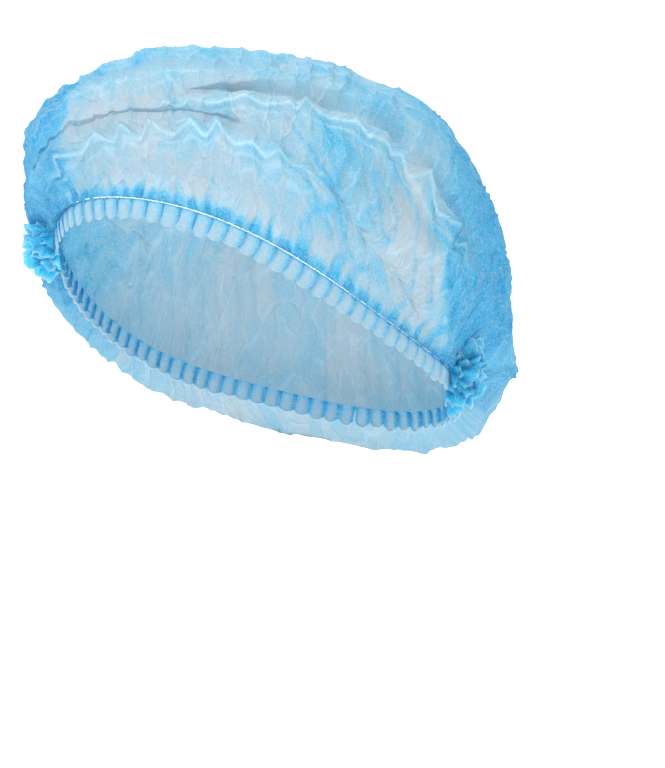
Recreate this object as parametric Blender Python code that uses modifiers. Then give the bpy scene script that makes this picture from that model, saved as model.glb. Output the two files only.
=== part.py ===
"""Disposable pleated hair cap of thin blue nonwoven, in the full round form that it takes when worn.

The cap is one long strip of cloth, folded in accordion pleats. Its two long edges are gathered hems
with an elastic thread in each, one over the brow and one round the nape, and its two ends are drawn
together into small tight bunches. The strip sits a little turned on the head: one bunch lies on the
right temple, the other behind the left ear.

The wearer faces -Y, +X is the wearer's left and +Z is up. The origin is the middle of the oval that
the two elastic threads make round the head. All sizes are in metres, angles are in degrees where the
name says so, and an angle round the head is 0 at the left side and -90 at the brow.
"""

import math
from collections import namedtuple

import bpy
from mathutils import Vector

CAP_NAME = "disposable_hairnet"

# The oval of elastic round the head, high at the brow, low at the nape and slack at the sides.
OPENING_HALF_WIDTH = 0.075
OPENING_HALF_LENGTH = 0.095
BROW_RISE = 0.044
NAPE_DROP = 0.044
SIDE_SAG = 0.010

# The crown's full form.
CROWN_TOP = 0.111
TOP_LEAD = 0.025
BROW_PUFF = 0.021
NAPE_PUFF = 0.035
BAG_DROOP = 0.030
BAG_DROOP_SHARE = 0.36
ROUNDNESS = 0.8
# The front panel climbs at once, and the bag behind turns out level before it turns up. These are
# shares of the way from the elastic to the top, in front and behind.
TURNED_OUT_BY = (0.22, 0.12)
TURNS_UP_FROM = (0.02, 0.12)

# Where the strip's two bunched ends lie round the head.
RIGHT_END_DEG = -134.0
LEFT_END_DEG = 27.0
BUNCH_REACH_DEG = 8.5
PINCH_REACH_DEG = 15.0
PINCH_DEPTH_SHARE = 0.8

# The cloth and the threads.
CLOTH = 0.0012
THREAD = 0.0012
SEAM_GAP = 0.0004
SEAM_NECK = 0.0024

# The gathered hems.
HEM_DEPTH = 0.0095
HEM_FLARE = 0.0015
RUFFLE_DEPTH = 0.0022
SCALLOP_DROP = 0.0014
SCALLOP_PITCH = 0.0078

# The crown's pleats and the tucks that run up from the hems.
PLEAT_LIFT = 0.0100
PLEAT_LEAN = 0.006
TUCK_DEPTH = 0.0016
TUCK_REACH = 0.030
CROWN_COLUMNS = 56
LIP_WAVE = 0.0030
LIP_WAVES = 6.5
LIP_FADE_SHARE = 0.18
# The rows of cloth next to each hem, as shares of the way across: the seam, its neck and the turn.
HEM_ROWS = (0.0, 0.008, 0.032)
# The rows of the last panel, as shares of the way from the last valley down to the back hem's turn.
LAST_PANEL_ROWS = (0.36, 0.72)

# The bunches at the strip's ends.
BUNCH_SIZE = 0.021
BUNCH_THICKNESS = 0.0042
BUNCH_FOLDS = 12
BUNCH_FOLD_SHARE = 0.24

# Each pleat's lip, as shares of the way from the front hem over to the back hem, read at the strip's
# right end, its middle and its left end. Lift is a share of PLEAT_LIFT. A lip rises from one share
# of the strip's length and dies at another.
Pleat = namedtuple("Pleat", "right middle left lift rises dies")
PLEATS = (
    Pleat(right=0.15, middle=0.165, left=0.11, lift=1.00, rises=0.16, dies=0.68),
    Pleat(right=0.20, middle=0.255, left=0.24, lift=1.00, rises=0.20, dies=0.95),
    Pleat(right=0.37, middle=0.375, left=0.35, lift=0.75, rises=0.05, dies=0.95),
    Pleat(right=0.51, middle=0.510, left=0.50, lift=0.80, rises=0.05, dies=0.95),
    Pleat(right=0.64, middle=0.650, left=0.64, lift=0.90, rises=0.05, dies=0.95),
    Pleat(right=0.79, middle=0.795, left=0.79, lift=0.90, rises=0.05, dies=0.95),
)

# One pleat's section from its panel to the valley behind its lip, which stands on the full form.
# Along is a share of PLEAT_LEAN past the lip's place, and out is a share of PLEAT_LIFT.
Fold = namedtuple("Fold", "along out")
FOLDS = (
    Fold(along=-1.10, out=-0.35),
    Fold(along=0.25, out=0.00),
    Fold(along=0.60, out=-0.95),
    Fold(along=1.40, out=-1.15),
)


def share_between(value, low, high):
    """0 at low and below, 1 at high and above, with a smooth rise between."""
    share = min(max((value - low) / (high - low), 0.0), 1.0)
    return share * share * (3.0 - 2.0 * share)


def mix(front, back, share):
    return front + (back - front) * share


def opening_point(angle):
    """A point of the oval of elastic."""
    along = math.sin(angle)
    slope = -0.5 * (BROW_RISE + NAPE_DROP) * along
    bow = 0.5 * (BROW_RISE - NAPE_DROP) * along**2
    sag = SIDE_SAG * (1.0 - along**2) ** 2
    return Vector(
        (OPENING_HALF_WIDTH * math.cos(angle), OPENING_HALF_LENGTH * along, slope + bow - sag)
    )


def opening_outward(angle):
    """The level direction straight away from the head."""
    across = math.cos(angle) / OPENING_HALF_WIDTH
    along = math.sin(angle) / OPENING_HALF_LENGTH
    return Vector((across, along, 0.0)).normalized()


def opening_turn(angle, length):
    """The angle in degrees that this length of elastic takes up, near this place round the head."""
    step = math.radians(0.5)
    run = (opening_point(angle + step) - opening_point(angle - step)).length
    return length / run


def opening_down(angle):
    """The direction down the head, square to the elastic."""
    step = math.radians(0.5)
    run = opening_point(angle + step) - opening_point(angle - step)
    down = opening_outward(angle).cross(run).normalized()
    return -down if down.z > 0 else down


def full_form(angle, way, fullness):
    """The crown without its pleats: way is 0 at the elastic and 1 at the top."""
    rim = opening_point(angle)
    centre = Vector((0.0, -TOP_LEAD, 0.0))
    spoke = Vector((rim.x, rim.y, 0.0)) - centre
    behind = 0.5 + 0.5 * math.sin(angle)
    puff = (BROW_PUFF + (NAPE_PUFF - BROW_PUFF) * behind) * fullness
    middle_front = math.radians(0.5 * (RIGHT_END_DEG + LEFT_END_DEG))
    turned_away = 0.5 - 0.5 * math.cos(angle - middle_front)
    turned_out_by = mix(*TURNED_OUT_BY, turned_away)
    turns_up_from = mix(*TURNS_UP_FROM, turned_away)
    out = share_between(way, 0.0, turned_out_by)
    turn = 0.5 * math.pi * max((way - turns_up_from) / (1.0 - turns_up_from), 0.0)
    reach = (spoke.length + puff * out) * max(math.cos(turn), 0.0) ** ROUNDNESS
    rise = (CROWN_TOP - rim.z) * math.sin(turn) ** ROUNDNESS
    low = math.sin(math.pi * min(way / BAG_DROOP_SHARE, 1.0)) ** 2
    hang = BAG_DROOP * turned_away * fullness * low
    return centre + spoke.normalized() * reach + Vector((0.0, 0.0, rim.z + rise - hang))


def strip_point(along, across):
    """The strip over the head: along runs from its right end to its left end, and across from the
    front hem, 0, over to the back hem, 1."""
    swing = math.pi * along
    roll = math.pi * across
    way = 2.0 / math.pi * math.asin(min(max(math.sin(swing) * math.sin(roll), 0.0), 1.0))
    turn = math.atan2(math.sin(swing) * math.cos(roll), math.cos(swing))
    front_span = math.radians(LEFT_END_DEG - RIGHT_END_DEG)
    span = front_span if turn >= 0 else 2.0 * math.pi - front_span
    angle = math.radians(RIGHT_END_DEG) + span * turn / math.pi
    from_end = math.degrees(min(swing, math.pi - swing))
    fullness = 1.0 - PINCH_DEPTH_SHARE * math.exp(-((from_end / PINCH_REACH_DEG) ** 2))
    return full_form(angle, way, fullness)


def outward_of(point):
    """Away from the middle of the head, at this point of the cloth."""
    heart = Vector((0.0, -0.4 * TOP_LEAD, 0.25 * CROWN_TOP))
    return (point - heart).normalized()


def strip_length_across():
    """The way from hem to hem over the top, at the strip's middle."""
    steps = 24
    points = [strip_point(0.5, step / steps) for step in range(steps + 1)]
    return sum((b - a).length for a, b in zip(points, points[1:]))


def pleat_place(pleat, along):
    """The lip's share of the way across, on a curve through its three named places."""
    right_weight = 2.0 * (along - 0.5) * (along - 1.0)
    middle_weight = -4.0 * along * (along - 1.0)
    left_weight = 2.0 * along * (along - 0.5)
    return right_weight * pleat.right + middle_weight * pleat.middle + left_weight * pleat.left


def pleat_strength(pleat, along):
    """1 where the pleat stands full, falling to 0 where its lip rises and dies."""
    rising = share_between(along, pleat.rises, pleat.rises + LIP_FADE_SHARE)
    dying = 1.0 - share_between(along, pleat.dies - LIP_FADE_SHARE, pleat.dies)
    return rising * dying


def crown_rows(along, length_across):
    """(across, out) for each row of the crown's cloth at one place along the strip."""
    narrow = max(math.sin(math.pi * along), 0.2)
    rows = [(share, 0.0) for share in HEM_ROWS]
    for number, pleat in enumerate(PLEATS):
        place = pleat_place(pleat, along)
        strength = pleat_strength(pleat, along)
        wave = LIP_WAVE * strength * math.sin(2.0 * math.pi * (LIP_WAVES * along + 0.31 * number))
        place += wave / (length_across * narrow)
        for fold in FOLDS:
            lean = PLEAT_LEAN * fold.along / (length_across * narrow)
            rows.append((place + lean, fold.out * pleat.lift * strength * PLEAT_LIFT))
    last_valley = rows[-1][0]
    for share in LAST_PANEL_ROWS:
        rows.append((mix(last_valley, 1.0 - HEM_ROWS[-1], share), 0.0))
    rows += [(1.0 - share, 0.0) for share in reversed(HEM_ROWS)]
    return rows


CROWN_ROWS = 2 * len(HEM_ROWS) + len(PLEATS) * len(FOLDS) + len(LAST_PANEL_ROWS)


def crown_point(column, row, length_across):
    """A corner of the crown's cloth."""
    reach = BUNCH_REACH_DEG / 180.0
    along = reach + (1.0 - 2.0 * reach) * column / CROWN_COLUMNS
    across, out = crown_rows(along, length_across)[row]
    point = strip_point(along, across)
    to_hem = min(across, 1.0 - across) * length_across * math.sin(math.pi * along)
    near_hem = math.exp(-to_hem / TUCK_REACH)
    tuck = TUCK_DEPTH * near_hem * (1.0 if column % 2 else 0.0)
    neck = SEAM_NECK * share_between(to_hem, 0.0, SEAM_NECK)
    rise = (0.5 * THREAD + SEAM_GAP + neck) * near_hem
    off_head = Vector((point.x, point.y, 0.0)).normalized() * (tuck + CLOTH * near_hem)
    return point + outward_of(point) * out + off_head + Vector((0.0, 0.0, rise))


def between_bunches(start_deg, end_deg):
    """The angles between which a hem and its thread run, clear of the bunches at both ends."""
    clear = 0.5 * BUNCH_SIZE + 0.5 * CLOTH + SEAM_GAP
    first = start_deg + opening_turn(math.radians(start_deg), clear)
    last = end_deg - opening_turn(math.radians(end_deg), clear)
    return first, last


def hem_point(start_deg, end_deg, column, columns, depth_share):
    """A corner of a hem's cloth: three columns make one flat tongue and the fold beside it."""
    first, last = between_bunches(start_deg, end_deg)
    angle = math.radians(first + (last - first) * column / columns)
    in_fold = column % 3 == 2
    ruffle = (0.0 if in_fold else RUFFLE_DEPTH) * (0.35 + 0.65 * depth_share)
    drop = 0.5 * THREAD + SEAM_GAP + HEM_DEPTH * depth_share
    drop += (0.0 if in_fold else SCALLOP_DROP) * depth_share**2
    out = CLOTH + HEM_FLARE * depth_share + ruffle
    return opening_point(angle) + opening_down(angle) * drop + opening_outward(angle) * out


def bunch_point(end_deg, unit):
    """A corner of a bunched end, from a point of the unit sphere whose +Z faces off the head."""
    angle = math.radians(end_deg)
    outward = opening_outward(angle)
    down = opening_down(angle)
    side = outward.cross(down)
    round_it = math.atan2(unit.y, unit.x)
    from_middle = math.hypot(unit.x, unit.y)
    in_fold = 0.5 - 0.5 * math.cos(BUNCH_FOLDS * round_it)
    reach = 0.5 * BUNCH_SIZE * from_middle * (1.0 - BUNCH_FOLD_SHARE * from_middle * in_fold)
    out = 0.5 * BUNCH_THICKNESS * (1.0 + unit.z) + CLOTH - THREAD * 0.5
    place = side * math.cos(round_it) * reach - down * math.sin(round_it) * reach
    return opening_point(angle) + place + outward * out


def material(name, colour, roughness):
    made = bpy.data.materials.new(name)
    made.use_nodes = True
    surface = made.node_tree.nodes["Principled BSDF"]
    surface.inputs["Base Color"].default_value = (*colour, 1.0)
    surface.inputs["Roughness"].default_value = roughness
    surface.inputs["Metallic"].default_value = 0.0
    return made


def put_in_cap(piece, name, collection, look):
    piece.name = name
    piece.data.name = name
    for holder in list(piece.users_collection):
        holder.objects.unlink(piece)
    collection.objects.link(piece)
    piece.data.materials.clear()
    piece.data.materials.append(look)
    return piece


def cloth_from_grid(name, columns, rows, corner, collection, look):
    """A sheet with the named count of columns and rows, shaped by a function and given its wall."""
    bpy.ops.mesh.primitive_grid_add(x_subdivisions=columns, y_subdivisions=rows, size=1.0)
    sheet = bpy.context.active_object
    for vertex in sheet.data.vertices:
        column = round((vertex.co.x + 0.5) * columns)
        row = round((vertex.co.y + 0.5) * rows)
        vertex.co = corner(column, row)
    wall = sheet.modifiers.new("wall", "SOLIDIFY")
    wall.thickness = CLOTH
    wall.offset = 0.0
    sheet.data.shade_smooth()
    return put_in_cap(sheet, name, collection, look)


def add_crown(collection, look):
    length_across = strip_length_across()

    def corner(column, row):
        return crown_point(column, row, length_across)

    return cloth_from_grid("crown", CROWN_COLUMNS, CROWN_ROWS - 1, corner, collection, look)


def opening_run(start_deg, end_deg):
    """The length of elastic between two angles."""
    steps = 48
    angles = [math.radians(start_deg + (end_deg - start_deg) * k / steps) for k in range(steps + 1)]
    points = [opening_point(angle) for angle in angles]
    return sum((b - a).length for a, b in zip(points, points[1:]))


def add_hem(name, start_deg, end_deg, collection, look):
    scallops = round(opening_run(start_deg, end_deg) / SCALLOP_PITCH)
    columns = 3 * scallops - 2
    rows = 2

    def corner(column, row):
        return hem_point(start_deg, end_deg, column, columns, row / rows)

    return cloth_from_grid(name, columns, rows, corner, collection, look)


def add_elastic(name, start_deg, end_deg, collection, look):
    """A round thread along the seam between the crown and its hem."""
    first, last = between_bunches(start_deg, end_deg)
    count = 36
    curve = bpy.data.curves.new(name, "CURVE")
    curve.dimensions = "3D"
    curve.bevel_depth = 0.5 * THREAD
    curve.bevel_resolution = 2
    curve.use_fill_caps = True
    spline = curve.splines.new("POLY")
    spline.points.add(count)
    for number, point in enumerate(spline.points):
        angle = math.radians(first + (last - first) * number / count)
        place = opening_point(angle) + opening_outward(angle) * CLOTH
        point.co = (*place, 1.0)
    spline.use_smooth = True
    thread = bpy.data.objects.new(name, curve)
    bpy.context.scene.collection.objects.link(thread)
    return put_in_cap(thread, name, collection, look)


def add_bunch(name, end_deg, collection, look):
    """A strip end drawn together into a small fluted rosette."""
    bpy.ops.mesh.primitive_uv_sphere_add(segments=2 * BUNCH_FOLDS, ring_count=8, radius=1.0)
    bunch = bpy.context.active_object
    for vertex in bunch.data.vertices:
        vertex.co = bunch_point(end_deg, vertex.co)
    bunch.data.shade_smooth()
    return put_in_cap(bunch, name, collection, look)


def build():
    for old in list(bpy.data.objects):
        bpy.data.objects.remove(old, do_unlink=True)
    collection = bpy.data.collections.new(CAP_NAME)
    bpy.context.scene.collection.children.link(collection)

    crown_cloth = material("crown_cloth", (0.42, 0.70, 0.84), 0.85)
    hem_cloth = material("hem_cloth", (0.20, 0.58, 0.84), 0.85)
    elastic_thread = material("elastic_thread", (0.84, 0.93, 0.97), 0.60)
    bunched_cloth = material("bunched_cloth", (0.03, 0.38, 0.74), 0.85)

    full_turn = 360.0
    right_end, left_end = RIGHT_END_DEG, LEFT_END_DEG
    add_crown(collection, crown_cloth)
    add_hem("front_hem", right_end, left_end, collection, hem_cloth)
    add_hem("back_hem", left_end, right_end + full_turn, collection, hem_cloth)
    add_elastic("front_elastic", right_end, left_end, collection, elastic_thread)
    add_elastic("back_elastic", left_end, right_end + full_turn, collection, elastic_thread)
    add_bunch("right_end_gather", right_end, collection, bunched_cloth)
    add_bunch("left_end_gather", left_end, collection, bunched_cloth)


build()
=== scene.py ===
"""The looks of a disposable pleated hair cap of thin blue nonwoven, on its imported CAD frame."""

import math

import bpy
import numpy as np
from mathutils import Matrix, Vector


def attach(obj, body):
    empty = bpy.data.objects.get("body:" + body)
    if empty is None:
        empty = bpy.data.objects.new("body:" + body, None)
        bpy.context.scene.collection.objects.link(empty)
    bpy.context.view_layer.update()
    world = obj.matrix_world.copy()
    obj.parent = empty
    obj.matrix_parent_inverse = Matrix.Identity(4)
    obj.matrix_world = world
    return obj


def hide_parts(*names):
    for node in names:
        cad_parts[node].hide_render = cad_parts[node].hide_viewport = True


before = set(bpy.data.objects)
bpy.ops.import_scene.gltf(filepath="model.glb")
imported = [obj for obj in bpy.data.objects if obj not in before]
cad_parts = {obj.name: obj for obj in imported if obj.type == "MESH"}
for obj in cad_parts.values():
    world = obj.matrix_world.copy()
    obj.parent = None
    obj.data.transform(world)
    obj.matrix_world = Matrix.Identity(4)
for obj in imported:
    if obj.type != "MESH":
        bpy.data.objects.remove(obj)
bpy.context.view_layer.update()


# The crown.
# One long strip of spunbond nonwoven in accordion pleats, pulled open over the head. Its pleat lips
# stand in wavy, pointed ridges from one bunched end to the other, and it is tucked small at both hems.

OPENING_HALF_WIDTH = 0.075
OPENING_HALF_LENGTH = 0.095
BROW_RISE = 0.044
NAPE_DROP = 0.044
SIDE_SAG = 0.010
CROWN_TOP = 0.111
TOP_LEAD = 0.025
BROW_PUFF = 0.021
NAPE_PUFF = 0.035
BAG_DROOP = 0.030
BAG_DROOP_SHARE = 0.36
ROUNDNESS = 0.8
TURNED_OUT_BY = (0.22, 0.12)
TURNS_UP_FROM = (0.02, 0.12)
RIGHT_END_DEG = -134.0
LEFT_END_DEG = 27.0
PINCH_REACH_DEG = 15.0
PINCH_DEPTH_SHARE = 0.8
PLEAT_LIFT = 0.0100
PLEAT_LEAN = 0.006
SCALLOP_PITCH = 0.0066

CROWN_COLUMNS = 352
CROWN_FIRST = 0.020
STRIP_LENGTH = 0.300

# Each lip's share of the way over from the front hem to the back hem, at these steps from the strip's
# right end to its left end. A lip rises and dies at shares of the strip's length.
STRIP_STEPS = (0.0, 0.15, 0.30, 0.40, 0.50, 0.60, 0.70, 0.80, 0.90, 1.0)
LIP_PLACES = (
    (0.120, 0.135, 0.143, 0.143, 0.146, 0.118, 0.080, 0.080, 0.090, 0.100),
    (0.170, 0.170, 0.170, 0.176, 0.204, 0.240, 0.242, 0.246, 0.225, 0.220),
    (0.330, 0.315, 0.290, 0.270, 0.275, 0.320, 0.330, 0.330, 0.330, 0.330),
    (0.470, 0.440, 0.400, 0.385, 0.385, 0.395, 0.410, 0.430, 0.440, 0.450),
    (0.580, 0.560, 0.540, 0.530, 0.530, 0.540, 0.545, 0.550, 0.560, 0.560),
    (0.680, 0.680, 0.680, 0.680, 0.680, 0.680, 0.680, 0.680, 0.680, 0.680),
    (0.820, 0.820, 0.820, 0.820, 0.820, 0.820, 0.820, 0.820, 0.820, 0.820),
)
PLEATS = np.array(
    [
        (1.00, 0.13, 0.645, 0.10, 0.0150, 1.15),
        (1.00, 0.31, 0.95, 0.12, 0.0160, 0.95),
        (0.70, 0.08, 0.60, 0.16, 0.0170, 0.22),
        (0.75, 0.10, 0.76, 0.10, 0.0190, 0.30),
        (0.80, 0.06, 0.95, 0.16, 0.0190, 0.40),
        (0.80, 0.06, 0.95, 0.16, 0.0180, 0.45),
        (0.90, 0.06, 0.95, 0.16, 0.0170, 0.50),
    ],
    dtype=[(n, float) for n in ("lift", "rises", "dies", "fade", "peak_pitch", "zigzag")],
)
# A pleat's section from front to back: where each line of it is at a pointed peak and in the dip between
# two, the rows of mesh up to it, and how much it carries of the painted highlight on the lip's edge, which
# also sets the lip's band of deeper blue, and of the painted grey shade in the hollow behind the lip.
FOLDS = np.array(
    [
        (-2.10, -0.40, -2.10, -0.50, 9, 0.0, 0.0),
        (-1.10, -0.16, -1.50, -0.42, 5, 0.50, 0.0),
        (0.35, 0.20, -0.95, -0.20, 5, 0.9, 0.0),
        (0.55, 0.16, 0.30, -0.16, 4, 0.0, 0.0),
        (0.55, -0.36, 0.50, -0.46, 3, 0.0, 0.5),
        (0.80, -0.72, 0.85, -0.72, 3, 0.0, 1.0),
        (1.70, -0.76, 1.70, -0.76, 3, 0.0, 1.0),
    ],
    dtype=[
        ("along", float),
        ("out", float),
        ("dip_along", float),
        ("dip_out", float),
        ("rows", int),
        ("light", float),
        ("hollow", float),
    ],
)
HOLLOW_STARTS = 4
MIDDLE_FOLD = 3.0
FLAT_FOLD_STEP = 0.0014
SHARP_LIPS = 2
SOFT_LIP_LIGHT = 0.45
LIP_SMOOTHINGS = 12
WANDER = 0.0022
WANDER_PITCH = 0.030
MEAN_PEAK = 0.55
FRONT_PANEL_ROWS = 30
BACK_PANEL_ROWS = 34
# The tucks at a hem are one to a scallop's pitch over these lengths. The way from the strip's ends is
# measured round a half circle of this radius.
FRONT_TUCKED_LENGTH = 0.204
BACK_TUCKED_LENGTH = 0.330
STRIP_ARC_RADIUS = 0.105


def share_between(value, low, high):
    """0 at low and below, 1 at high and above, with a smooth rise between."""
    share = np.clip((value - low) / (high - low), 0.0, 1.0)
    return share * share * (3.0 - 2.0 * share)


def opening_point(angle):
    """A point on the oval of elastic, at 0 on the wearer's left and at minus a quarter turn on the brow."""
    along = np.sin(angle)
    slope = -0.5 * (BROW_RISE + NAPE_DROP) * along
    bow = 0.5 * (BROW_RISE - NAPE_DROP) * along**2
    sag = SIDE_SAG * (1.0 - along**2) ** 2
    level = (OPENING_HALF_WIDTH * np.cos(angle), OPENING_HALF_LENGTH * along)
    return np.stack((*level, slope + bow - sag), axis=-1)


def unit(vectors):
    """The same directions, each one unit long."""
    return vectors / np.linalg.norm(vectors, axis=-1, keepdims=True)


def opening_outward(angle):
    """Level, square to the oval and away from the head."""
    across = np.cos(angle) / OPENING_HALF_WIDTH
    along = np.sin(angle) / OPENING_HALF_LENGTH
    return unit(np.stack((across, along, np.zeros_like(across)), axis=-1))


def opening_forward(angle):
    """Along the elastic, towards larger angles."""
    return unit(opening_point(angle + 0.01) - opening_point(angle - 0.01))


def opening_down(angle):
    """Down the head, square to the elastic."""
    return np.cross(opening_forward(angle), opening_outward(angle))


def full_form(angle, way, fullness):
    """The crown without its pleats: way is 0 at the elastic and 1 at the top."""
    rim = opening_point(angle)
    spoke = rim[..., :2] - np.array((0.0, -TOP_LEAD))
    length = np.linalg.norm(spoke, axis=-1)
    behind = 0.5 + 0.5 * np.sin(angle)
    puff = (BROW_PUFF + (NAPE_PUFF - BROW_PUFF) * behind) * fullness
    middle_front = math.radians(0.5 * (RIGHT_END_DEG + LEFT_END_DEG))
    turned_away = 0.5 - 0.5 * np.cos(angle - middle_front)
    turned_out_by = TURNED_OUT_BY[0] + (TURNED_OUT_BY[1] - TURNED_OUT_BY[0]) * turned_away
    turns_up_from = TURNS_UP_FROM[0] + (TURNS_UP_FROM[1] - TURNS_UP_FROM[0]) * turned_away
    out = share_between(way, 0.0, turned_out_by)
    turn = 0.5 * np.pi * np.maximum((way - turns_up_from) / (1.0 - turns_up_from), 0.0)
    reach = (length + puff * out) * np.maximum(np.cos(turn), 0.0) ** ROUNDNESS
    rise = (CROWN_TOP - rim[..., 2]) * np.sin(turn) ** ROUNDNESS
    low = np.sin(np.pi * np.minimum(way / BAG_DROOP_SHARE, 1.0)) ** 2
    hang = BAG_DROOP * turned_away * fullness * low
    level = spoke * (reach / length)[..., None] + np.array((0.0, -TOP_LEAD))
    return np.concatenate((level, (rim[..., 2] + rise - hang)[..., None]), axis=-1)


def strip_point(along, across):
    """The strip over the head: along runs from its right end to its left end, and across from the
    front hem, 0, over to the back hem, 1."""
    swing = np.pi * along
    roll = np.pi * across
    way = 2.0 / np.pi * np.arcsin(np.clip(np.sin(swing) * np.sin(roll), 0.0, 1.0))
    turn = np.arctan2(np.sin(swing) * np.cos(roll), np.cos(swing))
    front_span = math.radians(LEFT_END_DEG - RIGHT_END_DEG)
    span = np.where(turn >= 0.0, front_span, 2.0 * np.pi - front_span)
    angle = math.radians(RIGHT_END_DEG) + span * turn / np.pi
    from_end = np.degrees(np.minimum(swing, np.pi - swing))
    fullness = 1.0 - PINCH_DEPTH_SHARE * np.exp(-((from_end / PINCH_REACH_DEG) ** 2))
    return full_form(angle, way, fullness)


def rolling(x, y, seed):
    """Smooth uneven hills between about -1 and 1, one to a unit of x and y."""
    heights = np.random.default_rng(seed).uniform(-1.0, 1.0, (64, 64))
    left, low = np.floor(x).astype(int), np.floor(y).astype(int)
    sx, sy = x - left, y - low
    sx, sy = sx * sx * (3.0 - 2.0 * sx), sy * sy * (3.0 - 2.0 * sy)
    a, b = heights[left % 64, low % 64], heights[(left + 1) % 64, low % 64]
    c, d = heights[left % 64, (low + 1) % 64], heights[(left + 1) % 64, (low + 1) % 64]
    return (a + (b - a) * sx) * (1.0 - sy) + (c + (d - c) * sx) * sy


def creased(x, y, seed):
    """Sharp creases along the zero lines of rolling hills, 0 on the flats and 1 on a crease."""
    return (1.0 - np.minimum(np.abs(rolling(x, y, seed)) * 2.2, 1.0)) ** 2


def pointed(run, pitch, seed):
    """Pointed peaks of uneven height and pitch, about 1 at most, with round dips to 0 between them."""
    random = np.random.default_rng(seed)
    count = int((run.max() - run.min()) / pitch) + 4
    start = run.min() - 1.5 * pitch
    at = start + pitch * (np.arange(count) + random.uniform(-0.40, 0.40, count))
    tall = random.uniform(0.40, 1.15, count)
    below = np.clip(np.searchsorted(at, run) - 1, 0, count - 2)
    share = (run - at[below]) / (at[below + 1] - at[below])
    height = tall[below] + (tall[below + 1] - tall[below]) * share
    return height * np.abs(2.0 * share - 1.0) ** 1.3


def eased(rows, times):
    """Rows of values smoothed along themselves, with both ends kept."""
    for _ in range(times):
        middle = 0.25 * (rows[:, :-2] + rows[:, 2:]) + 0.5 * rows[:, 1:-1]
        rows = np.concatenate((rows[:, :1], middle, rows[:, -1:]), axis=1)
    return rows


along = np.linspace(CROWN_FIRST, 1.0 - CROWN_FIRST, CROWN_COLUMNS + 1)
narrow = np.maximum(np.sin(np.pi * along), 0.2)
marks = [(np.zeros_like(along), np.zeros_like(along), 0.0, 0.0, 1)]
for number, pleat in enumerate(PLEATS):
    place = np.interp(along, STRIP_STEPS, LIP_PLACES[number])
    for _ in range(LIP_SMOOTHINGS):
        place[1:-1] = 0.25 * (place[:-2] + place[2:]) + 0.5 * place[1:-1]
    lip = strip_point(along, place)
    run = np.concatenate(([0.0], np.cumsum(np.linalg.norm(np.diff(lip, axis=0), axis=1))))
    strength = share_between(along, pleat["rises"], pleat["rises"] + pleat["fade"])
    strength = strength * (1.0 - share_between(along, pleat["dies"] - pleat["fade"], pleat["dies"]))
    peaks = pointed(run, pleat["peak_pitch"], 20 + number)
    peaks = MEAN_PEAK + (peaks - MEAN_PEAK) * pleat["zigzag"] * strength
    wander = WANDER * rolling(run / WANDER_PITCH, 0.0 * run + 7.0 * number, 5)
    # the hollow behind a lip opens some way along it, and the lip's zigzag, its painted highlight and its
    # band of deeper blue ease off near the left end
    hollow_opens = share_between(along, 0.36 + 0.06 * number, 0.48 + 0.06 * number)
    light_eases = 1.0 - 0.75 * share_between(along, 0.76, 0.86)
    zigzag_eases = 1.0 - 0.45 * share_between(along, 0.76, 0.88)
    for step, fold in enumerate(FOLDS):
        lean = PLEAT_LEAN * (fold["dip_along"] + (fold["along"] - fold["dip_along"]) * peaks)
        out = fold["dip_out"] + (fold["out"] - fold["dip_out"]) * peaks
        if step >= HOLLOW_STARTS:
            out = out * (0.24 + 0.76 * hollow_opens)
            out = out * (0.80 + 0.40 * rolling(run / 0.016, 0.0 * run + 2.0 * number, 7))
        # the painted highlight on the lip's edge; the same amount also sets the lip's band of deeper blue
        edge = fold["light"] * (1.0 if number < SHARP_LIPS else SOFT_LIP_LIGHT)
        edge = edge * (0.62 + 0.38 * rolling(run / 0.011, 0.0 * run + number, 6 + step))
        edge = edge * light_eases
        # painted grey shade for the hollow behind the lip
        valley = fold["hollow"]
        lean = lean * zigzag_eases
        lean = (lean + wander) * strength + FLAT_FOLD_STEP * (step - MIDDLE_FOLD) * (1.0 - strength)
        across = place + lean / (STRIP_LENGTH * narrow)
        rows = FRONT_PANEL_ROWS if step == 0 and number == 0 else int(fold["rows"])
        marks.append(
            (across, out * pleat["lift"] * strength * PLEAT_LIFT, edge * strength, valley * strength, rows)
        )
marks.append((np.ones_like(along), np.zeros_like(along), 0.0, 0.0, BACK_PANEL_ROWS))

# every row of the mesh, between one line of a pleat and the next
columns_of = {"across": [], "out": [], "layers": [], "valley": []}
for before, after in zip(marks, marks[1:]):
    shares = np.arange(after[4]) / after[4]
    for name, start, end in zip(columns_of, before, after):
        start, end = start + np.zeros_like(along), end + np.zeros_like(along)
        columns_of[name] += [start + (end - start) * share for share in shares]
for name, end in zip(columns_of, marks[-1]):
    columns_of[name].append(end + np.zeros_like(along))
across, out, layers, valley = (np.array(columns_of[name]).T for name in columns_of)

# the painted highlight on a lip's edge is one row wide, so it is drawn again round the rows of the marks
row_numbers = np.arange(across.shape[1])
mark_rows = np.concatenate(([0], np.cumsum([mark[4] for mark in marks[1:]])))
edge = np.zeros_like(across)
for mark, row in zip(marks, mark_rows):
    thin = np.exp(-(((row_numbers - row) / 0.9) ** 2))
    edge = np.maximum(edge, (mark[2] + 0.0 * along)[:, None] * thin)
# no row may cross the one before it
across = np.maximum.accumulate(across, axis=1) + 2e-5 * np.arange(across.shape[1])
across = eased(across / across[:, -1:], 2)
out = eased(out, 2)
layers = eased(layers, 2)
valley = eased(valley, 3)

# where each point is on the cloth: its way to each hem and sideways from the middle of the strip
everywhere = np.repeat(along[:, None], across.shape[1], axis=1)
form = strip_point(everywhere, np.clip(across, 0.0, 1.0))
steps_over = np.linalg.norm(np.diff(form, axis=1), axis=2)
to_front = np.concatenate((np.zeros((len(along), 1)), np.cumsum(steps_over, axis=1)), axis=1)
to_back = to_front[:, -1:] - to_front
steps_on = np.linalg.norm(np.diff(form, axis=0), axis=2)
sideways = np.concatenate((np.zeros((1, across.shape[1])), np.cumsum(steps_on, axis=0)), axis=0)
sideways = sideways - sideways[len(along) // 2]

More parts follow.
